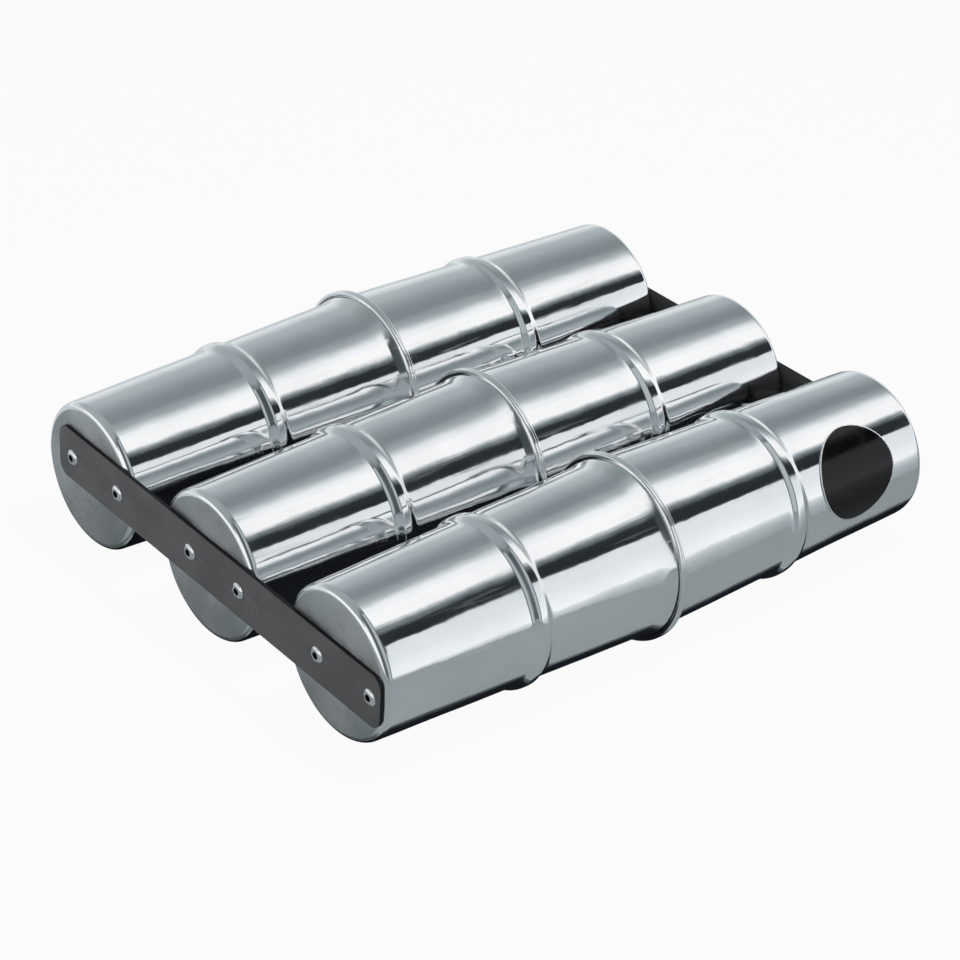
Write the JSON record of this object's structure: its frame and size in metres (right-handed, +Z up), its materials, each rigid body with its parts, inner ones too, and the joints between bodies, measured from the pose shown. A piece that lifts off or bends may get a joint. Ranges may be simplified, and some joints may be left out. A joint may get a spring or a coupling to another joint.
{
  "type": "ganza shaker",
  "caption": "Hand shaker of parallel closed tapered aluminium tubes, seamed at the middle, riveted at both ends to flat dark bars and filled with loose steel shot.",
  "frame": {"origin": "on the floor plane under the seams, below the middle of the middle tube", "axes": "+X along the tubes towards the right bar, +Y across the row towards the rear tube, +Z up"},
  "size_m": [0.2552, 0.2224, 0.0714],
  "materials": {
    "cup_aluminium": "polished, closed ends satin",
    "bar_coating": "matt anthracite coating",
    "rivet_aluminium": "bright",
    "mandrel_steel": "dull, broken end",
    "shot_steel": "smooth",
    "label_vinyl": "plain gloss black"
  },
  "bodies": {
    "casing": {"front_tube_left_cup": "cup_aluminium", "middle_tube_left_cup": "cup_aluminium", "rear_tube_left_cup": "cup_aluminium", "front_tube_right_cup": "cup_aluminium", "middle_tube_right_cup": "cup_aluminium", "rear_tube_right_cup": "cup_aluminium", "left_bar": "bar_coating", "right_bar": "bar_coating", "front_left_rivets": "rivet_aluminium", "middle_left_rivets": "rivet_aluminium", "rear_left_rivets": "rivet_aluminium", "front_right_rivets": "rivet_aluminium", "middle_right_rivets": "rivet_aluminium", "rear_right_rivets": "rivet_aluminium", "front_left_rivet_mandrels": "mandrel_steel", "middle_left_rivet_mandrels": "mandrel_steel", "rear_left_rivet_mandrels": "mandrel_steel", "front_right_rivet_mandrels": "mandrel_steel", "middle_right_rivet_mandrels": "mandrel_steel", "rear_right_rivet_mandrels": "mandrel_steel", "round_label": "label_vinyl"},
    "front_bed": {"front_shot_bed": "shot_steel"},
    "front_loose": {"front_loose_shot": "shot_steel"},
    "middle_bed": {"middle_shot_bed": "shot_steel"},
    "middle_loose": {"middle_loose_shot": "shot_steel"},
    "rear_bed": {"rear_shot_bed": "shot_steel"},
    "rear_loose": {"rear_loose_shot": "shot_steel"}
  },
  "joints": [
    {"name": "front_shot_roll", "type": "hinge", "parent": "casing", "child": "front_bed", "pos_m": [0, -0.0755, 0.0357], "axis": [1, 0, 0], "continuous": true},
    {"name": "front_shot_run", "type": "slide", "parent": "front_bed", "child": "front_loose", "axis": [1, 0, 0], "range_m": [-0.105, 0.105]},
    {"name": "middle_shot_roll", "type": "hinge", "parent": "casing", "child": "middle_bed", "pos_m": [0, 0, 0.0357], "axis": [1, 0, 0], "continuous": true},
    {"name": "middle_shot_run", "type": "slide", "parent": "middle_bed", "child": "middle_loose", "axis": [1, 0, 0], "range_m": [-0.105, 0.105]},
    {"name": "rear_shot_roll", "type": "hinge", "parent": "casing", "child": "rear_bed", "pos_m": [0, 0.0755, 0.0357], "axis": [1, 0, 0], "continuous": true},
    {"name": "rear_shot_run", "type": "slide", "parent": "rear_bed", "child": "rear_loose", "axis": [1, 0, 0], "range_m": [-0.105, 0.105]}
  ]
}
